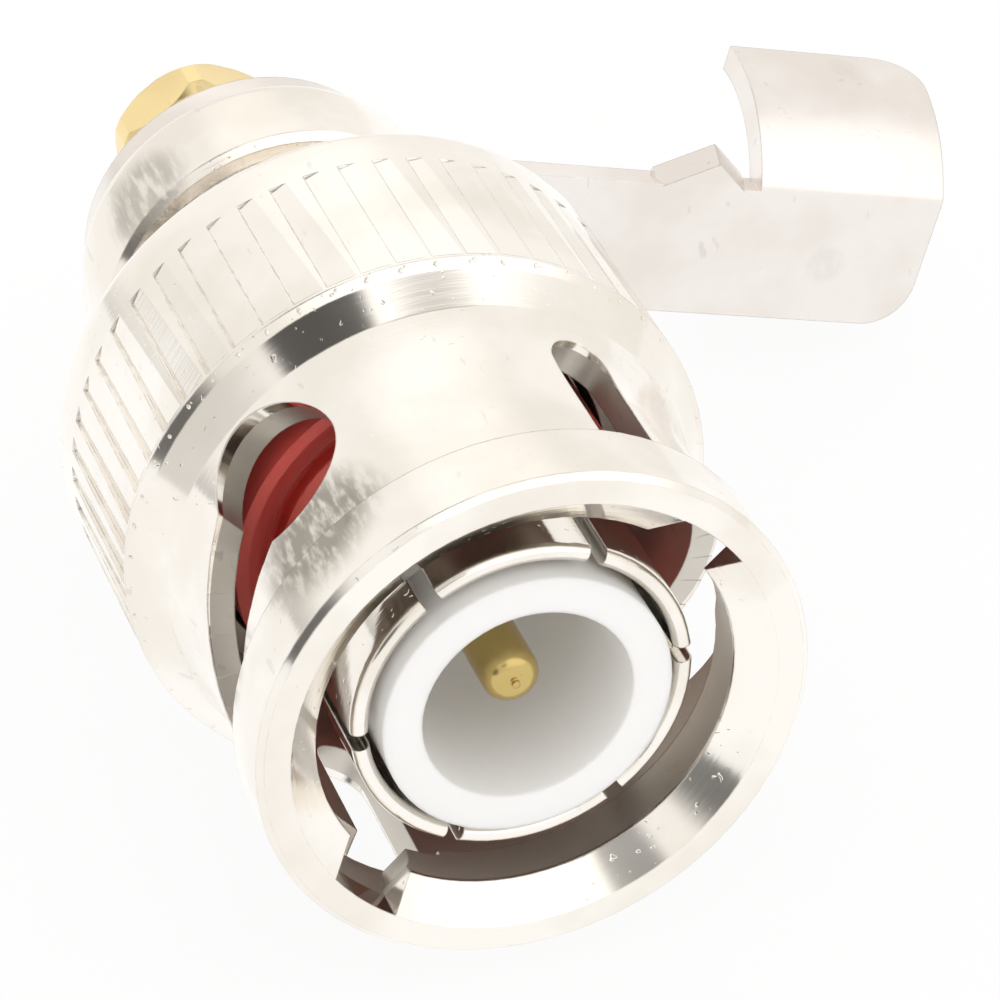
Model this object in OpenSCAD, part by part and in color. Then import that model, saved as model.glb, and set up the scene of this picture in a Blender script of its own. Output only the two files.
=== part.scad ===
// Male bayonet coaxial plug with a loose coupling nut and a cord-grip tongue.
// The connector axis lies along Y. The nut's front face is at y = 0 and the mating side faces -Y.
// Angles around the axis are measured from +X towards +Z.

/* [Coupling nut] */
// Bore of the bayonet mouth
mouth_r = 4.95; // [4.88:0.01:5.05]
// Wall of the waist sleeve round the mouth
mouth_wall = 1.15; // [1:0.05:1.4]
// Height of the collar above the waist sleeve
collar_h = 0.4; // [0.2:0.05:0.6]
// Length of the collar
collar_l = 1.85; // [1.2:0.05:2.4]
// Length of the straight waist sleeve
sleeve_l = 2.75; // [2:0.05:3.5]
// Height of the polished flare's edge above the waist sleeve
flare_h = 0.85; // [0.6:0.05:1]
// Length of the polished flare from the waist to the knurled ring
flare_l = 3.4; // [2.8:0.05:4]
// Height of the bevel that the flare ends in
bevel_h = 0.53; // [0.3:0.01:0.55]
// Length of the bevel that the flare ends in
bevel_l = 0.8; // [0.5:0.05:1]
// Height of the knurled ring above the flare's edge
knurl_h = 0.2; // [0.1:0.05:0.4]
// Length of the knurled ring
knurl_l = 6.15; // [5:0.05:7]
// Width of the countersink at the mouth
countersink = 0.8; // [0.5:0.05:1]
// Depth of the countersink
countersink_l = 0.7; // [0.4:0.05:1]
// Depth of the bayonet mouth, as far as the web
mouth_l = 11.75; // [11.5:0.05:12.5]
// Depth of the relief bored behind the mouth's front lip
relief_h = 0.5; // [0.3:0.05:0.6]
// Length of the relief bored behind the mouth's front lip
relief_l = 7.2; // [6.6:0.1:7.6]
// Thickness of the web that the nut turns on
web_t = 1.45; // [1.2:0.05:1.8]
// Reach of the web inwards from the mouth's wall
web_reach = 1.35; // [1.2:0.01:1.5]
// Wall left round the recess in the rear face
rear_wall = 1.75; // [1.4:0.05:2]
// Rounding of the rear shoulder
shoulder_round = 0.4; // [0.3:0.05:0.9]
// Chamfer of the nut's front edges
edge_chamfer = 0.15; // [0.1:0.01:0.25]

/* [Knurl] */
// Number of flutes
flutes = 53; // [36:1:72]
// Width of the ridge left between two flutes
flute_ridge = 0.12; // [0.08:0.01:0.2]
// Depth of the flutes at their steep wall
flute_depth = 0.12; // [0.06:0.01:0.18]
// Angle of the first flute's steep wall
flute_angle = 5; // [0:0.5:6]
// Plain land in front of the flutes
land_front = 0.3; // [0.2:0.05:0.6]
// Plain shoulder behind the flutes
land_rear = 1.45; // [1:0.05:2]

/* [Bayonet slots] */
// Angle of the lug entry notch
entry_angle = 44; // [30:1:55]
// Width of the lug entry notch
entry_w = 2; // [1.6:0.05:2.3]
// Turn from the entry notch to the locked end
slot_turn = 87.5; // [80:0.5:95]
// Width of the helical slot
slot_w = 2.5; // [2.2:0.02:2.6]
// Centre of the helical slot at the entry notch, from the front face
slot_start = 1.7; // [1.5:0.05:2]
// Rise of the helical slot
slot_rise = 3.6; // [3.2:0.05:3.8]
// Radius of the locked end of the slot
lock_r = 1.8; // [1.4:0.01:1.85]
// Angle from the entry notch to the relief window
window_turn = 16; // [12:1:20]
// Width of the relief window
window_w = 1.6; // [1.3:0.05:1.9]
// Rear end of the relief window, from the front face
window_end = 6.4; // [6:0.05:7]

/* [Outer contact] */
// Radial gap between the outer contact and the bayonet mouth
mating_gap = 0.9; // [0.8:0.01:1]
// Wall of the contact fingers
finger_wall = 0.43; // [0.35:0.01:0.55]
// Setback of the finger tips from the nut's front face
tip_setback = 0.87; // [0.5:0.01:1.2]
// Number of contact fingers
fingers = 6; // [4:1:8]
// Width of the gaps between fingers
finger_gap = 0.42; // [0.3:0.02:0.6]
// Length of the gaps between fingers
finger_l = 5.6; // [4.5:0.1:6]
// Angle of the first gap
finger_angle = 4; // [-10:1:10]
// Thickness of the flange behind the gasket
flange_t = 0.7; // [0.5:0.05:0.8]
// Radial gap between the flange and the bayonet mouth
flange_gap = 0.15; // [0.1:0.01:0.25]
// Radial clearance of the nut on the neck
neck_clearance = 0.08; // [0.02:0.01:0.1]
// Length of the neck
neck_l = 5.9; // [5.2:0.1:6.5]
// Wall of the neck
neck_wall = 0.67; // [0.5:0.01:0.8]

/* [Gasket] */
// Length of the gasket
gasket_l = 2.25; // [1.8:0.05:2.4]
// Radial gap between the gasket and the bayonet mouth
gasket_gap = 0.2; // [0.12:0.01:0.3]
// Depth of the step in the gasket's front face
gasket_step = 0.4; // [0.2:0.05:0.6]
// Width of the gasket's outer lip
gasket_lip = 0.32; // [0.2:0.02:0.4]
// Depth of the groove in the outer contact that holds the gasket
gasket_groove = 0.2; // [0.1:0.01:0.22]

/* [Dielectric and centre contact] */
// Setback of the dielectric from the nut's front face
dielectric_setback = 0.62; // [0.4:0.01:0.85]
// Radial gap between the dielectric and the fingers
dielectric_gap = 0.2; // [0.1:0.01:0.3]
// Wall of the dielectric round the cavity
cavity_wall = 0.92; // [0.8:0.01:1]
// Depth of the cavity
cavity_l = 5.5; // [4.8:0.1:6]
// Length of the collar that seats the dielectric
seat_l = 2.2; // [1.6:0.1:2.6]
// Radius of the centre pin
pin_r = 0.675; // [0.66:0.005:0.69]
// Setback of the pin's tip from the nut's front face
pin_setback = 1.5; // [1:0.05:2]
// Step from the pin to its thicker shank in the dielectric
shank_step = 0.275; // [0.15:0.005:0.4]
// Rounding of the pin's tip
pin_round = 0.4; // [0.2:0.05:0.5]
// Radius of the small nib left at the pin's tip
nib_r = 0.09; // [0.05:0.01:0.15]

/* [Rear body] */
// Wall of the spigot between the nut and the rear body
spigot_wall = 0.6; // [0.5:0.01:0.8]
// Gap between the nut's web and the spigot when the nut is at rest
web_gap = 0.05; // [0.03:0.01:0.1]
// Length of the spigot
spigot_l = 5.05; // [4.4:0.05:5.4]
// Step from the spigot to the rear body
body_step = 0.55; // [0.4:0.01:0.7]
// Length of the rear body
body_l = 3; // [2.4:0.1:3.4]
// Rounding of the rear body's rear edge
body_round = 0.7; // [0.3:0.05:0.9]
// Chamfer of the rear body's front edge
body_chamfer = 0.2; // [0.1:0.01:0.3]
// Height of the swaged rear lip above the grip's seat
lip_h = 0.3; // [0.2:0.01:0.4]
// Length of the swaged rear lip
lip_l = 0.35; // [0.25:0.05:0.5]
// Wall of the seat that the cord grip is swaged on
seat_wall = 0.45; // [0.35:0.01:0.6]

/* [Washers] */
// Sheet thickness of the flat washers
washer_t = 0.3; // [0.2:0.02:0.4]
// Sheet thickness of the wave washer
wave_t = 0.15; // [0.1:0.01:0.2]
// Length of the space for the wave washer
spring_l = 0.85; // [0.7:0.01:1]
// Number of waves round the wave washer
waves = 3; // [3:1:5]
// Radial clearance of the washers on the neck
washer_clearance = 0.1; // [0.08:0.01:0.2]
// Radial gap between the washers and the bayonet mouth
washer_gap = 0.2; // [0.12:0.01:0.3]

/* [Solder cup] */
// Radius of the wire bore
cup_bore_r = 1; // [0.8:0.05:1.1]
// Wall of the cup round the wire bore
cup_wall = 0.6; // [0.4:0.05:0.8]
// Wall of the insulator round the cup
insulator_wall = 0.9; // [0.7:0.05:1]
// Depth of the wire bore
cup_bore_l = 4; // [3:0.1:5]
// Gap between the neck's end and the cup
cup_gap = 1.2; // [1:0.1:1.8]
// Length of the pin's shank inside the cup
shank_in_cup = 0.95; // [0.6:0.05:1.2]
// Length of the cup's barrel that shows behind the rear lip
tail_l = 2.85; // [2.2:0.05:3.2]
// Size of the hexagon head across its flats
hex_af = 4.2; // [3.9:0.05:4.5]
// Length of the hexagon head
hex_l = 1.4; // [1:0.1:2]
// Angle of the hexagon head's first corner
hex_angle = 35; // [0:1:60]
// Chamfer of the hexagon head
hex_chamfer = 0.3; // [0.2:0.05:0.4]

/* [Cord grip] */
// Sheet thickness of the cord grip
grip_t = 0.7; // [0.5:0.05:0.8]
// Width of the grip's ring round its seat
grip_ring_w = 1.3; // [1.2:0.05:1.4]
// Angle of the tongue below +X
tongue_angle = 16; // [0:1:20]
// Offset of the tongue's middle line from the axis, towards the open wing
tongue_offset = 0.5; // [0:0.05:0.8]
// Width of the tongue
tongue_w = 3.8; // [3.4:0.1:4.2]
// Reach of the tongue from the axis
tongue_l = 19.3; // [17:0.1:21]
// Length of the crimp wings along the tongue
wing_l = 5.5; // [4.5:0.1:6]
// Height of the open wing along its curve
wing_h = 4.2; // [3.2:0.1:4.4]
// Bend of the open wing where it leaves the tongue
wing_bend = 33; // [20:1:45]
// Radius of the open wing's curve
wing_curve_r = 4.2; // [3.6:0.1:5]
// Height of the wing that is folded straight back
folded_h = 3.6; // [3:0.1:4]
// Corner radius of the wings and the tongue
wing_corner = 1.3; // [0.8:0.1:1.6]
// Length of the small tooth beside the open wing
tooth_l = 2.6; // [1.8:0.1:3]
// Height of the small tooth
tooth_h = 1.15; // [0.6:0.05:1.3]
// Bend of the small tooth
tooth_bend = 24; // [20:1:60]

/* [Hidden] */
$fn = 96;
half_turn = 180;
overcut = 1;
sleeve_r = mouth_r + mouth_wall;
collar_r = sleeve_r + collar_h;
flare_r = sleeve_r + flare_h;
knurl_r = flare_r + knurl_h;
knurl_y = collar_l + sleeve_l + flare_l;
nut_l = knurl_y + knurl_l;
web_r = mouth_r - web_reach;
web_end = mouth_l + web_t;
recess_r = knurl_r - rear_wall;
bevel_r = flare_r - bevel_h;
curve_l = flare_l - bevel_l;
curve_h = flare_h - bevel_h;
flare_curve_r = (curve_l * curve_l + curve_h * curve_h) / (2 * curve_h);
relief_r = mouth_r + relief_h;
relief_end = collar_l + relief_l;
contact_r = mouth_r - mating_gap;
finger_bore_r = contact_r - finger_wall;
flange_r = mouth_r - flange_gap;
thrust_y = mouth_l - washer_t;
front_washer_end = thrust_y - spring_l;
flange_y = front_washer_end - washer_t - flange_t;
flange_end = flange_y + flange_t;
neck_r = web_r - neck_clearance;
neck_bore_r = neck_r - neck_wall;
neck_end = flange_end + neck_l;
neck_floor_y = flange_y - finger_wall;
gasket_r = mouth_r - gasket_gap;
gasket_y = flange_y - gasket_l;
gasket_seat_r = contact_r - gasket_groove;
dielectric_r = finger_bore_r - dielectric_gap;
cavity_r = dielectric_r - cavity_wall;
cavity_end = dielectric_setback + cavity_l;
shank_r = pin_r + shank_step;
cup_start = neck_end + cup_gap;
pin_end = cup_start + shank_in_cup;
cup_r = cup_bore_r + cup_wall;
spigot_r = neck_r + spigot_wall;
body_r = spigot_r + body_step;
rear_bore_r = cup_r + insulator_wall;
grip_seat_r = rear_bore_r + seat_wall;
lip_r = grip_seat_r + lip_h;
grip_ring_r = grip_seat_r + grip_ring_w;
spigot_y = web_end + web_gap;
spigot_end = spigot_y + spigot_l;
body_end = spigot_end + body_l;
grip_end = body_end + grip_t;
lip_end = grip_end + lip_l;
washer_bore_r = neck_r + washer_clearance;
washer_r = mouth_r - washer_gap;
head_y = lip_end + tail_l;
head_end = head_y + hex_l;
hex_r = hex_af / sqrt(3);
wing_start = tongue_l - wing_l;
wing_sweep = wing_h / wing_curve_r * half_turn / PI;
track_floor_r = mouth_r - overcut;
track_depth = knurl_r - mouth_r + 2 * overcut;
slot_stretches = 10;
slot_mid_r = (mouth_r + sleeve_r) / 2;
slot_stretch_l = PI * slot_mid_r * slot_turn / half_turn / slot_stretches;
slot_lean = atan(slot_rise / slot_stretches / slot_stretch_l);
flute_w = 2 * PI * knurl_r / flutes - flute_ridge;
flute_edge_x = sqrt(knurl_r * knurl_r - flute_w * flute_w);
flute_l = knurl_l - land_front - land_rear;
flute_rise = atan(flute_depth / flute_l) / 2;
flute_slope = asin((flute_edge_x + flute_depth - knurl_r) / flute_w);
nickel = [0.86, 0.83, 0.79];
gold = [0.86, 0.70, 0.34];
ptfe = [0.96, 0.96, 0.94];
silicone = [0.62, 0.17, 0.15];

// Turns a profile of [radius, y] points, or its 2-D children, round the connector axis.
module turned() {
    rotate([-90, 0, 0]) rotate_extrude() children();
}

// A plain ring or disc round the connector axis.
module tube(outer_r, inner_r, y0, y1) {
    turned() translate([inner_r, y0]) square([outer_r - inner_r, y1 - y0]);
}

// Places something at an angle round the connector axis, with +X pointing outwards there.
module at_angle(a) {
    rotate([0, -a, 0]) children();
}

// A radial hole of radius r through the mouth's wall at an angle and a distance along the axis.
module radial_hole(a, y, r) {
    at_angle(a) translate([track_floor_r, y, 0]) rotate([0, 90, 0])
        cylinder(r = r, h = track_depth, $fn = 48);
}

// An axial channel of width w through the mouth's wall, from y0 to y1.
module axial_channel(a, y0, y1, w) {
    at_angle(a) translate([track_floor_r, y0, -w / 2]) cube([track_depth, y1 - y0, w]);
}

// One straight stretch of the helical slot, middle at an angle and a distance along the axis.
module slot_stretch(a, y) {
    at_angle(a) translate([track_floor_r, y, 0]) rotate([slot_lean, 0, 0])
        translate([0, -slot_w / 2, -slot_stretch_l / 2])
            cube([track_depth, slot_w, slot_stretch_l]);
}

// One lug track: entry notch, helical slot, locked end and relief window.
module lug_track() {
    window_angle = entry_angle + window_turn;
    window_r = window_w / 2;
    axial_channel(entry_angle, -overcut, slot_start, entry_w);
    for (i = [0:slot_stretches - 1]) {
        part = i / slot_stretches;
        middle = part + 0.5 / slot_stretches;
        radial_hole(entry_angle - part * slot_turn, slot_start + part * slot_rise, slot_w / 2);
        slot_stretch(entry_angle - middle * slot_turn, slot_start + middle * slot_rise);
    }
    radial_hole(entry_angle - slot_turn, slot_start + slot_rise, lock_r);
    axial_channel(window_angle, slot_start, window_end - window_r, window_w);
    radial_hole(window_angle, window_end - window_r, window_r);
}

// The outer part of the collar, which the lug tracks don't cut through.
module collar_skin() {
    turned() polygon([
        [mouth_r + countersink, 0], [collar_r - edge_chamfer, 0], [collar_r, edge_chamfer],
        [collar_r, collar_l], [mouth_r + countersink, collar_l]]);
}

// The nut's outer form with its flare, before it is bored and cut.
module nut_blank() {
    round_at = [knurl_r - shoulder_round, nut_l - shoulder_round];
    bevel_y = knurl_y - bevel_l;
    turned() {
        difference() {
            polygon([
                [0, 0], [collar_r - edge_chamfer, 0], [collar_r, edge_chamfer],
                [collar_r, collar_l], [sleeve_r, collar_l], [sleeve_r, knurl_y - flare_l],
                [bevel_r, knurl_y - flare_l], [bevel_r, bevel_y], [0, bevel_y]]);
            translate([sleeve_r + flare_curve_r, knurl_y - flare_l]) circle(r = flare_curve_r);
        }
        polygon([
            [0, bevel_y], [bevel_r, bevel_y], [flare_r, knurl_y],
            [knurl_r, knurl_y + knurl_h], [knurl_r, round_at[1]], round_at,
            [round_at[0], nut_l], [0, nut_l]]);
        translate(round_at) circle(r = shoulder_round);
    }
}

// The mouth with its countersink and relief, the hole in the web and the recess in the rear face.
module nut_bore() {
    turned() polygon([
        [0, -overcut], [mouth_r + countersink, -overcut], [mouth_r + countersink, 0],
        [mouth_r, countersink_l], [mouth_r, collar_l], [relief_r, collar_l],
        [relief_r, relief_end], [mouth_r, relief_end], [mouth_r, mouth_l], [web_r, mouth_l],
        [web_r, web_end], [recess_r, web_end],
        [recess_r, nut_l + overcut], [0, nut_l + overcut]]);
}

// A flute with one steep wall. Its floor slopes back up to the knurl's surface on the other
// side, and it runs out towards the rear.
module flute() {
    translate([knurl_r - flute_depth, knurl_y + land_front, 0])
        rotate([0, -flute_slope, -flute_rise]) translate([0, 0, -flute_w])
            cube([overcut, flute_l, flute_w]);
}

module coupling_nut() {
    color(nickel) {
        difference() {
            nut_blank();
            nut_bore();
            lug_track();
            at_angle(half_turn) lug_track();
            for (i = [0:flutes - 1]) at_angle(flute_angle + i * 2 * half_turn / flutes) flute();
        }
        collar_skin();
    }
}

module outer_contact() {
    tip_r = finger_wall / 2;
    color(nickel) difference() {
        turned() difference() {
            union() {
                translate([0, tip_setback + tip_r])
                    square([contact_r, gasket_y - tip_setback - tip_r]);
                translate([0, gasket_y]) square([gasket_seat_r, gasket_l]);
                translate([contact_r - tip_r, tip_setback + tip_r]) circle(r = tip_r);
                translate([0, flange_y]) square([flange_r, flange_t]);
                translate([0, flange_y]) square([neck_r, neck_end - flange_y]);
            }
            translate([0, tip_setback]) square([finger_bore_r, neck_floor_y - tip_setback]);
            square([neck_bore_r, neck_end + overcut]);
        }
        for (i = [0:fingers - 1]) at_angle(finger_angle + i * 2 * half_turn / fingers)
            translate([0, 0, -finger_gap / 2])
                cube([contact_r + overcut, tip_setback + finger_l, finger_gap]);
    }
}

module gasket() {
    color(silicone) turned() polygon([
        [gasket_seat_r, gasket_y + gasket_step],
        [gasket_r - gasket_lip, gasket_y + gasket_step],
        [gasket_r - gasket_lip, gasket_y], [gasket_r, gasket_y], [gasket_r, flange_y],
        [gasket_seat_r, flange_y]]);
}

module front_dielectric() {
    seat_y = neck_floor_y - seat_l;
    color(ptfe) turned() polygon([
        [cavity_r, dielectric_setback], [dielectric_r, dielectric_setback],
        [dielectric_r, seat_y], [finger_bore_r, seat_y], [finger_bore_r, neck_floor_y],
        [neck_bore_r, neck_floor_y], [neck_bore_r, neck_end], [shank_r, neck_end],
        [shank_r, cavity_end], [cavity_r, cavity_end]]);
}

module centre_pin() {
    color(gold) turned() {
        translate([0, pin_setback + pin_round])
            square([pin_r, cavity_end - pin_setback - pin_round]);
        translate([0, pin_setback]) square([pin_r - pin_round, pin_round]);
        intersection() {
            translate([pin_r - pin_round, pin_setback + pin_round]) circle(r = pin_round);
            square([pin_r, cavity_end]);
        }
        translate([0, pin_setback - nib_r]) square([nib_r, 2 * nib_r]);
        translate([0, cavity_end]) square([shank_r, pin_end - cavity_end]);
    }
}

module rear_body() {
    round_at = [body_r - body_round, body_end - body_round];
    color(nickel) turned() difference() {
        union() {
            translate([0, spigot_y]) square([spigot_r, spigot_l]);
            polygon([
                [0, spigot_end], [body_r - body_chamfer, spigot_end],
                [body_r, spigot_end + body_chamfer], [body_r, round_at[1]], round_at,
                [round_at[0], body_end], [0, body_end]]);
            translate(round_at) circle(r = body_round);
            translate([0, body_end]) square([grip_seat_r, grip_t]);
            translate([0, grip_end]) square([lip_r, lip_l]);
        }
        translate([0, spigot_y - overcut]) square([neck_r, neck_end - spigot_y + overcut]);
        square([rear_bore_r, lip_end + overcut]);
    }
}

module front_washer() {
    color(nickel) tube(washer_r, washer_bore_r, flange_end, front_washer_end);
}

module thrust_washer() {
    color(nickel) tube(washer_r, washer_bore_r, thrust_y, mouth_l);
}

// A flat ring bent into waves that touch the washers in front and behind.
module wave_washer() {
    parts = 4 * waves * 4;
    step = 2 * half_turn / parts;
    swing = (spring_l - wave_t) / 2;
    middle = front_washer_end + spring_l / 2;
    function ring_point(i, r, side) =
        let (a = i * step, y = middle + swing * cos(waves * a) + side * wave_t / 2)
        [r * cos(a), y, r * sin(a)];
    points = [for (i = [0:parts - 1])
        each [ring_point(i, washer_bore_r, -1), ring_point(i, washer_r, -1),
              ring_point(i, washer_r, 1), ring_point(i, washer_bore_r, 1)]];
    faces = [for (i = [0:parts - 1], k = [0:3])
        let (j = (i + 1) % parts, n = (k + 1) % 4)
        [4 * i + k, 4 * i + n, 4 * j + n, 4 * j + k]];
    color(nickel) polyhedron(points, faces, convexity = 6);
}

module rear_insulator() {
    color(ptfe) difference() {
        tube(rear_bore_r, shank_r, neck_end, lip_end);
        tube(cup_r, 0, cup_start, lip_end + overcut);
    }
}

module solder_cup() {
    color(gold) difference() {
        union() {
            tube(cup_r, 0, cup_start, head_end);
            intersection() {
                translate([0, head_y, 0]) rotate([-90, 0, 0]) rotate([0, 0, -hex_angle])
                    cylinder(r = hex_r, h = hex_l, $fn = 6);
                turned() polygon([
                    [0, head_y], [hex_r - hex_chamfer, head_y],
                    [hex_r - hex_chamfer / 3, head_y + hex_chamfer],
                    [hex_r - hex_chamfer / 3, head_end - hex_chamfer],
                    [hex_r - hex_chamfer, head_end], [0, head_end]]);
            }
        }
        tube(cup_bore_r, 0, head_end - cup_bore_l, head_end + overcut);
        tube(shank_r, 0, cup_start - overcut, pin_end);
    }
}

// Cuts the far corner off a wing whose free edge is at y_tip.
module wing_corner_cut(y_tip, u_end) {
    difference() {
        translate([u_end - wing_corner, y_tip - wing_corner, -tongue_w])
            cube([wing_corner + overcut, wing_corner + overcut, 3 * tongue_w]);
        translate([u_end - wing_corner, y_tip - wing_corner, -tongue_w - overcut])
            cylinder(r = wing_corner, h = 3 * tongue_w + 2 * overcut, $fn = 48);
    }
}

// Section of the open wing: a curved strip that starts with a sharp crease.
module open_wing_section() {
    fold = [tongue_w / 2, body_end + grip_t / 2];
    centre = fold + wing_curve_r * [-sin(wing_bend), cos(wing_bend)];
    reach = 2 * wing_curve_r;
    translate(fold) circle(r = grip_t / 2, $fn = 32);
    intersection() {
        translate(centre) difference() {
            circle(r = wing_curve_r + grip_t / 2);
            circle(r = wing_curve_r - grip_t / 2);
        }
        translate(centre) polygon([
            [0, 0], for (a = [wing_bend, wing_bend + wing_sweep / 2, wing_bend + wing_sweep])
                reach * [sin(a), -cos(a)]]);
    }
}

// The wing that stands open above the tongue.
module open_wing() {
    tip = body_end + grip_t / 2 + wing_curve_r * (cos(wing_bend) - cos(wing_bend + wing_sweep));
    difference() {
        translate([wing_start, 0, 0]) multmatrix([[0, 0, 1, 0], [0, 1, 0, 0], [1, 0, 0, 0]])
            linear_extrude(wing_l) open_wing_section();
        wing_corner_cut(tip, tongue_l);
    }
}

// The wing that is folded straight back below the tongue.
module folded_wing() {
    folded_end = tongue_l - wing_corner;
    difference() {
        translate([wing_start, body_end, -tongue_w / 2])
            cube([folded_end - wing_start, folded_h, grip_t]);
        wing_corner_cut(body_end + folded_h, folded_end);
    }
}

// A small triangular tooth whose root lies along the tongue's edge.
module tooth(bend) {
    root = grip_t / 2;
    translate([wing_start - tooth_l - root, 0, 0]) {
        rotate([bend, 0, 0]) translate([0, root, 0]) rotate([90, 0, 0])
            linear_extrude(grip_t) polygon([
                [0, 0], [tooth_l / 2, tooth_h], [tooth_l, 0], [tooth_l, -root], [0, -root]]);
    }
}

module cord_grip() {
    color(nickel) difference() {
        union() {
            tube(grip_ring_r, 0, body_end, grip_end);
            rotate([0, tongue_angle, 0]) translate([0, 0, tongue_offset]) {
                difference() {
                    translate([0, body_end, -tongue_w / 2]) cube([tongue_l, grip_t, tongue_w]);
                    translate([tongue_l - wing_corner, 0, -tongue_w / 2]) difference() {
                        translate([0, body_end - overcut, -overcut])
                            cube([2 * wing_corner, grip_t + 2 * overcut, wing_corner + overcut]);
                        translate([0, body_end - 2 * overcut, wing_corner]) rotate([-90, 0, 0])
                            cylinder(r = wing_corner, h = grip_t + 4 * overcut);
                    }
                }
                open_wing();
                folded_wing();
                translate([0, body_end + grip_t / 2, tongue_w / 2]) tooth(tooth_bend);
            }
        }
        tube(grip_seat_r, 0, body_end - overcut, grip_end + overcut);
    }
}

coupling_nut();
outer_contact();
gasket();
front_dielectric();
centre_pin();
rear_body();
front_washer();
wave_washer();
thrust_washer();
rear_insulator();
solder_cup();
cord_grip();
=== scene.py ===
import math

import bpy
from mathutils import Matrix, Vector


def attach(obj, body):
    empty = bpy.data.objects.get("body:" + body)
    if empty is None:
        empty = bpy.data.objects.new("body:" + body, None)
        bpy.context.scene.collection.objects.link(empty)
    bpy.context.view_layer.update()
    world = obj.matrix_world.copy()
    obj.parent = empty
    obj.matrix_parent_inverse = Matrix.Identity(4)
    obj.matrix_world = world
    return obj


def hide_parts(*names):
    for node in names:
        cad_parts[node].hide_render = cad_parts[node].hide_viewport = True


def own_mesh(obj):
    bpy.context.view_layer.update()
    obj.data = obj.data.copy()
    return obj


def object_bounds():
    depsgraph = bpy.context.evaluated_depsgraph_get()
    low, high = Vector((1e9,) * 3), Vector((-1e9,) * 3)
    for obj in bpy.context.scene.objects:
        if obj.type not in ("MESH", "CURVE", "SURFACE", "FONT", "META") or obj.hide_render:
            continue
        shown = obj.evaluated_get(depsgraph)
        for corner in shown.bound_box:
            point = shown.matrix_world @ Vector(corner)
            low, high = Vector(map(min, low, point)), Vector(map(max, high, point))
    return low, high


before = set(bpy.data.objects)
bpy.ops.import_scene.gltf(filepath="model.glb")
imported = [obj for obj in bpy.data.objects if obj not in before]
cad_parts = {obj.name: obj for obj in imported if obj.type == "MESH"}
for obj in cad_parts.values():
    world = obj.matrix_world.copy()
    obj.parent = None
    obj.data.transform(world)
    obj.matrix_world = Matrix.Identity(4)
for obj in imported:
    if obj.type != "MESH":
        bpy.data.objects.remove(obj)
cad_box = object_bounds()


# ---- Camera ------------------------------------------------------------------------------------
# A long lens a hand's width away looks down into the open mouth of the plug, a little from its
# left side, with the crimp tongue standing out behind on the right.
camera_data = bpy.data.cameras.new("camera")
camera_data.sensor_width = 36
camera_data.lens = 180
camera_data.clip_start = 0.002
camera_data.clip_end = 5
camera = bpy.data.objects.new("camera", camera_data)
camera.location = (-0.03001, -0.08231, 0.06785)
camera.rotation_euler = (math.radians(90 - 35.22), 0, math.radians(-19.48))
bpy.context.collection.objects.link(camera)
bpy.context.scene.camera = camera
bpy.context.scene.view_settings.view_transform = "Standard"


# ---- Table -------------------------------------------------------------------------------------
# The plug lies on its knurled ring and the tip of its tongue on a plain white sheet, which shows
# as white from the camera and in the plating, and keeps a faint shadow.
resting_height = cad_box[0][2]
sheet_mesh = bpy.data.meshes.new("table_sheet")
sheet_half = 0.6
sheet_mesh.from_pydata(
    [(x * sheet_half, y * sheet_half, resting_height)
     for x, y in ((-1, -1), (1, -1), (1, 1), (-1, 1))], [], [(0, 1, 2, 3)])
table_sheet = bpy.data.objects.new("table_sheet", sheet_mesh)
bpy.context.collection.objects.link(table_sheet)
sheet_material = bpy.data.materials.new("white_sheet")
sheet_material.use_nodes = True
nodes, links = sheet_material.node_tree.nodes, sheet_material.node_tree.links
nodes.clear()
paper = nodes.new("ShaderNodeBsdfDiffuse")
paper.inputs["Color"].default_value = (0.9, 0.9, 0.9, 1)
glow = nodes.new("ShaderNodeEmission")
glow.inputs["Color"].default_value = (1, 1, 1, 1)
ray = nodes.new("ShaderNodeLightPath")
mirrored = nodes.new("ShaderNodeMath")
mirrored.operation = "MULTIPLY_ADD"
mirrored.inputs[1].default_value = 0.08
mirrored.inputs[2].default_value = 1
links.new(ray.outputs["Is Glossy Ray"], mirrored.inputs[0])
links.new(mirrored.outputs["Value"], glow.inputs["Strength"])
seen = nodes.new("ShaderNodeMath")
seen.operation = "MAXIMUM"
links.new(ray.outputs["Is Camera Ray"], seen.inputs[0])
links.new(ray.outputs["Is Glossy Ray"], seen.inputs[1])
share = nodes.new("ShaderNodeMath")
share.operation = "MULTIPLY"
share.inputs[1].default_value = 0.9
links.new(seen.outputs[0], share.inputs[0])
blend = nodes.new("ShaderNodeMixShader")
links.new(share.outputs[0], blend.inputs["Fac"])
links.new(paper.outputs["BSDF"], blend.inputs[1])
links.new(glow.outputs["Emission"], blend.inputs[2])
surface = nodes.new("ShaderNodeOutputMaterial")
links.new(blend.outputs["Shader"], surface.inputs["Surface"])
sheet_mesh.materials.append(sheet_material)


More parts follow.
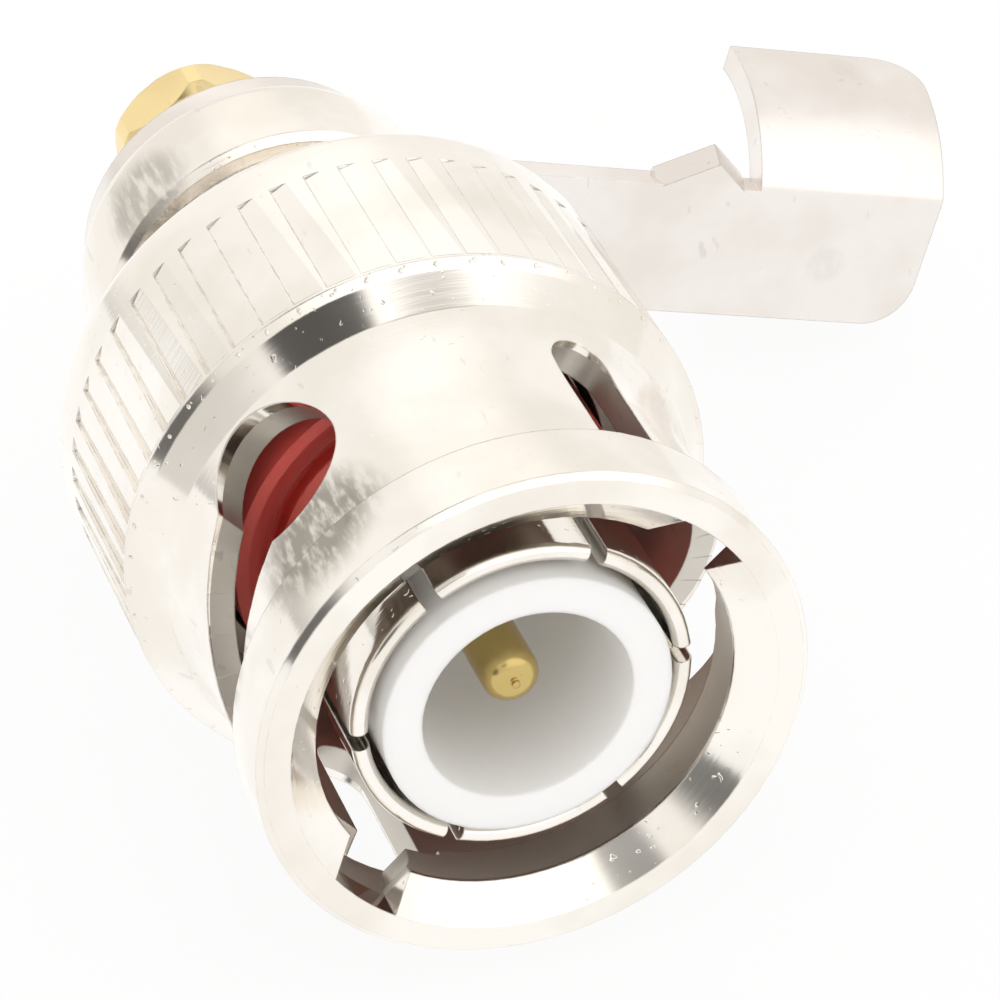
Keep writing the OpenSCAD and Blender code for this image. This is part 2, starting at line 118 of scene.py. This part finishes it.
# ---- Light -------------------------------------------------------------------------------------
# A white light tent stands round the plug. The bright plating mirrors its small opening in
# front, a dark gap low on the left, another above it and a grey seam overhead. It glows more
# behind and at the front on the right.
tent = bpy.data.worlds.new("light_tent")
bpy.context.scene.world = tent
tent.use_nodes = True
nodes, links = tent.node_tree.nodes, tent.node_tree.links
nodes.clear()
direction = nodes.new("ShaderNodeTexCoord")
strength = None
for toward, wide, narrow, level in (
        ((-0.3, -0.77, 0.56), 0.98, 0.995, 0.35),
        ((-0.82, -0.57, 0.03), 0.9, 0.97, 0.22),
        ((-0.34, -0.28, 0.9), 0.945, 0.97, 0.11),
        ((-0.92, -0.22, 0.2), 0.8, 0.96, 0.78),
        ((0.27, 0.07, 0.96), 0.93, 0.98, 0.5),
        ((-0.74, 0.62, -0.26), 0.88, 0.98, 0.55),
        ((0.12, 0.74, 0.66), 0.92, 0.995, 1.15),
        ((0.32, -0.62, 0.72), 0.68, 0.9, 1.35)):
    facing = nodes.new("ShaderNodeVectorMath")
    facing.operation = "DOT_PRODUCT"
    facing.inputs[1].default_value = Vector(toward).normalized()
    links.new(direction.outputs["Generated"], facing.inputs[0])
    patch = nodes.new("ShaderNodeMapRange")
    patch.interpolation_type = "SMOOTHSTEP"
    patch.inputs["From Min"].default_value = wide
    patch.inputs["From Max"].default_value = narrow
    patch.inputs["To Min"].default_value = 1
    patch.inputs["To Max"].default_value = level
    links.new(facing.outputs["Value"], patch.inputs["Value"])
    if strength is None:
        strength = patch.outputs["Result"]
        continue
    both = nodes.new("ShaderNodeMath")
    both.operation = "MULTIPLY"
    links.new(strength, both.inputs[0])
    links.new(patch.outputs["Result"], both.inputs[1])
    strength = both.outputs["Value"]
white = nodes.new("ShaderNodeBackground")
white.inputs["Color"].default_value = (1, 0.985, 0.965, 1)
links.new(strength, white.inputs["Strength"])
fill = nodes.new("ShaderNodeBackground")
fill.inputs["Color"].default_value = (1, 0.99, 0.98, 1)
fill.inputs["Strength"].default_value = 1.15
backdrop = nodes.new("ShaderNodeBackground")
backdrop.inputs["Color"].default_value = (1, 1, 1, 1)
ray = nodes.new("ShaderNodeLightPath")
scattered = nodes.new("ShaderNodeMixShader")
links.new(ray.outputs["Is Diffuse Ray"], scattered.inputs["Fac"])
links.new(white.outputs["Background"], scattered.inputs[1])
links.new(fill.outputs["Background"], scattered.inputs[2])
seen = nodes.new("ShaderNodeMixShader")
links.new(ray.outputs["Is Camera Ray"], seen.inputs["Fac"])
links.new(scattered.outputs["Shader"], seen.inputs[1])
links.new(backdrop.outputs["Background"], seen.inputs[2])
sky = nodes.new("ShaderNodeOutputWorld")
links.new(seen.outputs["Shader"], sky.inputs["Surface"])


# ---- Coupling nut ------------------------------------------------------------------------------
# A turned, slotted and knurled brass nut with bright nickel plating. It turns and slides on the
# neck of the plug and locks on the jack's lugs with its two helical slots.
def build_plating_wear_and_painted_shade():
    """The surface of bright plating over turned metal: stains, tool lines, nicks, pits, edges
    darkened by wear and by a painted dark reflection, an inside that is duller and darkened as
    painted shade, and two marks that can be rubbed duller and dented."""
    tree = bpy.data.node_groups.new("plating_wear_and_painted_shade", "ShaderNodeTree")
    for name, kind, default in (
            ("Colour", "NodeSocketColor", (0.9, 0.86, 0.8, 1)),
            ("Polish", "NodeSocketFloat", 0.15),
            ("Grain", "NodeSocketVector", (500, 9000, 500)),
            ("Scratch", "NodeSocketVector", (1, 0.2, 1)),
            ("Edge Wear", "NodeSocketFloat", 0.3),
            ("Inner Radius", "NodeSocketFloat", 0.0),
            *((f"Mark {number} {what}", kind, default)
              for number in (1, 2)
              for what, kind, default in (("Centre", "NodeSocketVector", (0, 0, 0)),
                                          ("Radius", "NodeSocketFloat", 0.0001),
                                          ("Dulling", "NodeSocketFloat", 0.0),
                                          ("Depth", "NodeSocketFloat", 0.0)))):
        tree.interface.new_socket(name, in_out="INPUT", socket_type=kind).default_value = default
    for name, kind in (("Colour", "NodeSocketColor"), ("Roughness", "NodeSocketFloat"),
                       ("Normal", "NodeSocketVector")):
        tree.interface.new_socket(name, in_out="OUTPUT", socket_type=kind)
    nodes, links = tree.nodes, tree.links
    given = nodes.new("NodeGroupInput").outputs
    made = nodes.new("NodeGroupOutput").inputs
    place = nodes.new("ShaderNodeTexCoord").outputs["Object"]

    def feed(socket, value):
        if isinstance(value, bpy.types.NodeSocket):
            links.new(value, socket)
        else:
            socket.default_value = value

    def calc(operation, one, two):
        node = nodes.new("ShaderNodeMath")
        node.operation = operation
        feed(node.inputs[0], one)
        feed(node.inputs[1], two)
        return node.outputs["Value"]

    def vector_calc(operation, one, two, result="Vector"):
        node = nodes.new("ShaderNodeVectorMath")
        node.operation = operation
        feed(node.inputs[0], one)
        feed(node.inputs[1], two)
        return node.outputs[result]

    def ranged(value, low, high, out_low, out_high):
        node = nodes.new("ShaderNodeMapRange")
        node.interpolation_type = "SMOOTHSTEP"
        for socket, number in (("Value", value), ("From Min", low), ("From Max", high),
                               ("To Min", out_low), ("To Max", out_high)):
            feed(node.inputs[socket], number)
        return node.outputs["Result"]

    def noise(scale, stretch, detail):
        node = nodes.new("ShaderNodeTexNoise")
        feed(node.inputs["Vector"], vector_calc("MULTIPLY", place, stretch))
        feed(node.inputs["Scale"], scale)
        feed(node.inputs["Detail"], detail)
        return node.outputs["Fac"]

    def toned(share, one, two):
        node = nodes.new("ShaderNodeMixRGB")
        feed(node.inputs["Fac"], share)
        feed(node.inputs["Color1"], one)
        feed(node.inputs["Color2"], two)
        return node.outputs["Color"]

    bevel = nodes.new("ShaderNodeBevel")
    edge_round = 0.00006
    bevel.samples = 6
    feed(bevel.inputs["Radius"], edge_round)
    rounding = bevel.outputs["Normal"]
    true_normal = nodes.new("ShaderNodeNewGeometry").outputs["Normal"]
    level = vector_calc("DOT_PRODUCT", rounding, true_normal, "Value")
    stain = noise(260, (1, 1, 1), 4)
    chips = ranged(noise(2300, (1, 1, 1), 2), 0.42, 0.58, 0.15, 1)
    # Edges are darkened in broken chips: partly edge wear, partly a painted dark reflection that
    # outlines them.
    edges = calc("MULTIPLY", calc("MULTIPLY", ranged(level, 0.8, 0.985, 1, 0), chips),
                 given["Edge Wear"])
    nicks = calc("MULTIPLY", ranged(noise(2600, given["Scratch"], 2), 0.7, 0.76, 0, 1), 0.16)
    pits = ranged(noise(5200, (1, 1, 1), 1), 0.68, 0.76, 0, 1)
    across = vector_calc("MULTIPLY", place, (1, 0, 1))
    from_axis = vector_calc("LENGTH", across, (0, 0, 0), "Value")
    axes = nodes.new("ShaderNodeSeparateXYZ")
    feed(axes.inputs["Vector"], place)
    lip, lip_end = 0.00072, 0.00085
    behind_lip = ranged(axes.outputs["Y"], lip, lip_end, 0, 1)
    # Inside the bore, behind the lip, the colour is darkened as painted shade and the roughness
    # is raised.
    inside = calc("MULTIPLY", calc("LESS_THAN", from_axis, given["Inner Radius"]), behind_lip)
    wear_and_painted_shade = calc("ADD", calc("ADD", edges, nicks), calc("MULTIPLY", inside, 0.42))
    relief = calc("MULTIPLY", noise(1, given["Grain"], 2), 0.35)
    relief = calc("SUBTRACT", relief, calc("MULTIPLY", pits, 0.6))
    grit = ranged(noise(5200, given["Scratch"], 4), 0.3, 0.58, 0.3, 1)
    for number in (1, 2):
        mark = f"Mark {number} "
        away = vector_calc("DISTANCE", place, given[mark + "Centre"], "Value")
        inner = calc("MULTIPLY", given[mark + "Radius"], 0.5)
        near = ranged(away, inner, given[mark + "Radius"], 1, 0)
        rubbed = calc("MULTIPLY", calc("MULTIPLY", near, grit), given[mark + "Dulling"])
        wear_and_painted_shade = calc("ADD", wear_and_painted_shade, rubbed)
        relief = calc("SUBTRACT", relief, calc("MULTIPLY", near, given[mark + "Depth"]))
    # One dark tone serves edge wear with its painted dark edge reflection, nicks, rubbed marks
    # and the painted shade inside.
    dark = toned(1.0, given["Colour"], (0.4, 0.38, 0.35, 1))
    dark.node.blend_type = "MULTIPLY"
    tarnished = toned(1.0, given["Colour"], (0.9, 0.885, 0.86, 1))
    tarnished.node.blend_type = "MULTIPLY"
    clean = toned(ranged(stain, 0.35, 0.6, 0, 1), tarnished, given["Colour"])
    feed(made["Colour"], toned(wear_and_painted_shade, clean, dark))
    haze = calc("MULTIPLY", given["Polish"], ranged(stain, 0.3, 0.7, 0.8, 1.3))
    matt = calc("ADD", calc("MULTIPLY", wear_and_painted_shade, 0.35), calc("MULTIPLY", inside, 0.16))
    feed(made["Roughness"], calc("ADD", haze, matt))
    bump = nodes.new("ShaderNodeBump")
    feed(bump.inputs["Strength"], 0.3)
    feed(bump.inputs["Distance"], 0.00002)
    feed(bump.inputs["Height"], relief)
    feed(bump.inputs["Normal"], rounding)
    feed(made["Normal"], bump.outputs["Normal"])
    return tree


plating_wear_and_painted_shade = build_plating_wear_and_painted_shade()


def plated(name, **values):
    """A plated metal with its own values for the shared surface."""
    material = bpy.data.materials.new(name)
    material.use_nodes = True
    nodes, links = material.node_tree.nodes, material.node_tree.links
    surface = nodes.new("ShaderNodeGroup")
    surface.node_tree = plating_wear_and_painted_shade
    for socket, value in values.items():
        surface.inputs[socket.replace("_", " ")].default_value = value
    skin = nodes["Principled BSDF"]
    skin.inputs["Metallic"].default_value = 1
    links.new(surface.outputs["Colour"], skin.inputs["Base Color"])
    links.new(surface.outputs["Roughness"], skin.inputs["Roughness"])
    links.new(surface.outputs["Normal"], skin.inputs["Normal"])
    return material


def dress(node, material):
    """Gives a carried-over piece its finish."""
    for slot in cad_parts[node].material_slots:
        slot.material = material


# On the nut everything within 6.05 mm of the axis and behind the lip gets the painted shade of
# the inside.
bright_nickel = plated(
    "bright_nickel", Colour=(0.955, 0.915, 0.855, 1), Polish=0.11, Grain=(500, 12000, 500),
    Scratch=(1, 0.3, 1), Edge_Wear=0.6, Inner_Radius=0.00605,
    Mark_1_Centre=(-0.0042, 0.0024, 0.0044), Mark_1_Radius=0.0022, Mark_1_Dulling=0.95,
    Mark_2_Centre=(-0.0061, 0.0025, 0.0012), Mark_2_Radius=0.0012, Mark_2_Dulling=0.5)
dress("coupling_nut", bright_nickel)


# ---- Flute burrs -------------------------------------------------------------------------------
# The knurling tool threw up two small bright burrs at the front end of each flute. They are
# flakes of the nut's own metal, so they turn with it.
flutes = 53
first_flute = math.radians(5)
burr_r = 0.00702
flake_r = 0.00009
burr_ring = bpy.data.meshes.new("flute_burrs")
burr_ring.from_pydata(
    [(burr_r * math.cos(turn), y, burr_r * math.sin(turn))
     for y, lag in ((0.00814, 0), (0.00819, 0.017))
     for turn in (first_flute - lag + step * 2 * math.pi / flutes for step in range(flutes))],
    [], [])
flute_burrs = bpy.data.objects.new("flute_burrs", burr_ring)
bpy.context.collection.objects.link(flute_burrs)
strewing = bpy.data.node_groups.new("burr_strewing", "GeometryNodeTree")
strewing.interface.new_socket("Geometry", in_out="INPUT", socket_type="NodeSocketGeometry")
strewing.interface.new_socket("Geometry", in_out="OUTPUT", socket_type="NodeSocketGeometry")
nodes, links = strewing.nodes, strewing.links
points = nodes.new("NodeGroupInput")
flake = nodes.new("GeometryNodeMeshIcoSphere")
flake.inputs["Radius"].default_value = flake_r
flake.inputs["Subdivisions"].default_value = 2
jitter = nodes.new("FunctionNodeRandomValue")
jitter.data_type = "FLOAT_VECTOR"
lean = 0.7
jitter.inputs["Min"].default_value = (-lean, -lean, -lean)
jitter.inputs["Max"].default_value = (lean, lean, lean)
jitter.inputs["Seed"].default_value = 4
size = nodes.new("FunctionNodeRandomValue")
size.data_type = "FLOAT_VECTOR"
size.inputs["Min"].default_value = (0.5, 0.5, 0.6)
size.inputs["Max"].default_value = (1.2, 1.2, 1.4)
size.inputs["Seed"].default_value = 9
strew = nodes.new("GeometryNodeInstanceOnPoints")
links.new(points.outputs["Geometry"], strew.inputs["Points"])
links.new(flake.outputs["Mesh"], strew.inputs["Instance"])
links.new(jitter.outputs["Value"], strew.inputs["Rotation"])
links.new(size.outputs["Value"], strew.inputs["Scale"])
realize = nodes.new("GeometryNodeRealizeInstances")
links.new(strew.outputs["Instances"], realize.inputs["Geometry"])
finish = nodes.new("GeometryNodeSetMaterial")
finish.inputs["Material"].default_value = bright_nickel
links.new(realize.outputs["Geometry"], finish.inputs["Geometry"])
links.new(finish.outputs["Geometry"], nodes.new("NodeGroupOutput").inputs["Geometry"])
flute_burrs.modifiers.new("strewing", "NODES").node_group = strewing
made_burrs = bpy.data.meshes.new_from_object(
    flute_burrs.evaluated_get(bpy.context.evaluated_depsgraph_get()))
flute_burrs.modifiers.clear()
flute_burrs.data = made_burrs
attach(flute_burrs, "nut")


# ---- Outer contact -----------------------------------------------------------------------------
# A slotted bronze tube, nickel plated, whose fingers spring into the jack's barrel.
contact_nickel = plated(
    "contact_nickel", Colour=(0.94, 0.9, 0.84, 1), Polish=0.1, Grain=(600, 9000, 600),
    Scratch=(1, 0.3, 1), Edge_Wear=0.4)
dress("outer_contact", contact_nickel)


# ---- Gasket ------------------------------------------------------------------------------------
# A moulded red silicone ring with a thin outer lip, pressed on behind the fingers.
silicone = bpy.data.materials.new("red_silicone")
silicone.use_nodes = True
nodes, links = silicone.node_tree.nodes, silicone.node_tree.links
skin = nodes["Principled BSDF"]
skin.inputs["Subsurface Weight"].default_value = 0.3
skin.inputs["Subsurface Radius"].default_value = (1, 0.3, 0.25)
skin.inputs["Subsurface Scale"].default_value = 0.0005
place = nodes.new("ShaderNodeTexCoord")
bloom = nodes.new("ShaderNodeTexNoise")
bloom.inputs["Scale"].default_value = 700
bloom.inputs["Detail"].default_value = 5
links.new(place.outputs["Object"], bloom.inputs["Vector"])
red = nodes.new("ShaderNodeMixRGB")
red.inputs["Color1"].default_value = (0.92, 0.11, 0.095, 1)
red.inputs["Color2"].default_value = (0.98, 0.19, 0.16, 1)
links.new(bloom.outputs["Fac"], red.inputs["Fac"])
links.new(red.outputs["Color"], skin.inputs["Base Color"])
sheen = nodes.new("ShaderNodeMapRange")
sheen.inputs["To Min"].default_value = 0.4
sheen.inputs["To Max"].default_value = 0.6
links.new(bloom.outputs["Fac"], sheen.inputs["Value"])
links.new(sheen.outputs["Result"], skin.inputs["Roughness"])
mottle = nodes.new("ShaderNodeBump")
mottle.inputs["Strength"].default_value = 0.4
mottle.inputs["Distance"].default_value = 0.00002
links.new(bloom.outputs["Fac"], mottle.inputs["Height"])
links.new(mottle.outputs["Normal"], skin.inputs["Normal"])
dress("gasket", silicone)


# ---- Dielectric and rear insulator -------------------------------------------------------------
# Turned white PTFE, waxy and slightly see-through at its edges, with faint tool marks. From 6 mm
# to
# 9.5 mm back it darkens towards brownish grey as painted shade of the mouth, and stays so further
# back.
ptfe = bpy.data.materials.new("white_ptfe")
ptfe.use_nodes = True
nodes, links = ptfe.node_tree.nodes, ptfe.node_tree.links
skin = nodes["Principled BSDF"]
skin.inputs["Roughness"].default_value = 0.42
skin.inputs["Subsurface Weight"].default_value = 0.6
skin.inputs["Subsurface Radius"].default_value = (1, 0.95, 0.88)
skin.inputs["Subsurface Scale"].default_value = 0.0005
place = nodes.new("ShaderNodeTexCoord")
haze = nodes.new("ShaderNodeTexNoise")
haze.inputs["Scale"].default_value = 400
haze.inputs["Detail"].default_value = 3
links.new(place.outputs["Object"], haze.inputs["Vector"])
wax = nodes.new("ShaderNodeMixRGB")
wax.inputs["Color1"].default_value = (0.93, 0.92, 0.9, 1)
wax.inputs["Color2"].default_value = (0.97, 0.965, 0.95, 1)
links.new(haze.outputs["Fac"], wax.inputs["Fac"])
axes = nodes.new("ShaderNodeSeparateXYZ")
links.new(place.outputs["Object"], axes.inputs["Vector"])
# Painted shade: the white darkens towards brownish grey from 6 mm to 9.5 mm back from the mouth.
depth = nodes.new("ShaderNodeMapRange")
depth.inputs["From Min"].default_value = 0.006
depth.inputs["From Max"].default_value = 0.0095
links.new(axes.outputs["Y"], depth.inputs["Value"])
cavity_painted_shade = nodes.new("ShaderNodeMixRGB")
cavity_painted_shade.inputs["Color2"].default_value = (0.66, 0.59, 0.4, 1)
links.new(depth.outputs["Result"], cavity_painted_shade.inputs["Fac"])
links.new(wax.outputs["Color"], cavity_painted_shade.inputs["Color1"])
links.new(cavity_painted_shade.outputs["Color"], skin.inputs["Base Color"])
turning = nodes.new("ShaderNodeTexWave")
turning.wave_type = "RINGS"
turning.rings_direction = "Y"
turning.inputs["Scale"].default_value = 2500
turning.inputs["Distortion"].default_value = 1.5
links.new(place.outputs["Object"], turning.inputs["Vector"])
tool_marks = nodes.new("ShaderNodeBump")
tool_marks.inputs["Strength"].default_value = 0.06
tool_marks.inputs["Distance"].default_value = 0.00001
links.new(turning.outputs["Fac"], tool_marks.inputs["Height"])
soft_edge = nodes.new("ShaderNodeBevel")
soft_edge.samples = 6
soft_edge.inputs["Radius"].default_value = 0.00012
links.new(soft_edge.outputs["Normal"], tool_marks.inputs["Normal"])
links.new(tool_marks.outputs["Normal"], skin.inputs["Normal"])
dress("front_dielectric", ptfe)
dress("rear_insulator", ptfe)


# ---- Centre pin and solder cup -----------------------------------------------------------------
# The inner conductor: a turned brass pin with thin gold plating and a hexagonal cup at the rear.
# The one gold is given twice: darker on the pin as painted shade, paler on the cup as painted
# light.
# Darker gold on the pin is painted shade; paler gold on the cup is painted light.
dress("centre_pin", plated(
    "pin_gold_painted_shade", Colour=(0.64, 0.49, 0.19, 1), Polish=0.22, Grain=(700, 8000, 700)))
dress("solder_cup", plated(
    "cup_gold_painted_light", Colour=(0.94, 0.75, 0.38, 1), Polish=0.22, Grain=(700, 8000, 700),
    Edge_Wear=0.2))


# ---- Rear body and washers ---------------------------------------------------------------------
# A turned brass body pressed on the contact's neck, and plain steel washers inside the nut.
dress("rear_body", plated(
    "body_nickel", Colour=(0.95, 0.905, 0.84, 1), Polish=0.15, Edge_Wear=0.6,
    Mark_1_Centre=(-0.0034, 0.0192, 0.0032), Mark_1_Radius=0.0016, Mark_1_Dulling=0.6))
for washer in ("front_washer", "thrust_washer"):
    dress(washer, contact_nickel)

# The wave washer, which flattens towards its front end when the nut is pulled forward, is copied
# here as a rigid piece of its own that rides with the plug.
wave_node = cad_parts["wave_washer"]
spring_mesh = wave_node.data.copy()
spring_mesh.transform(wave_node.matrix_world)
spring_mesh.materials.clear()
spring_mesh.materials.append(contact_nickel)
wave_spring = bpy.data.objects.new("wave_spring", spring_mesh)
bpy.context.collection.objects.link(wave_spring)
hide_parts("wave_washer")
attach(wave_spring, "plug")
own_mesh(wave_spring)


# ---- Cord grip ---------------------------------------------------------------------------------
# A stamped and folded brass sheet, satin nickel plated, swaged on the rear body. The press left
# a small dimple in the tongue and another in the wing.
dress("cord_grip", plated(
    "satin_nickel", Colour=(0.91, 0.865, 0.825, 1), Polish=0.24, Grain=(700, 700, 2500),
    Scratch=(1, 1, 0.3), Edge_Wear=0.25,
    Mark_1_Centre=(0.01587, 0.0213, -0.00421), Mark_1_Radius=0.0007, Mark_1_Dulling=0.1,
    Mark_1_Depth=3.0,
    Mark_2_Centre=(0.01761, 0.0245, -0.00013), Mark_2_Radius=0.0006, Mark_2_Dulling=0.08,
    Mark_2_Depth=2.5))
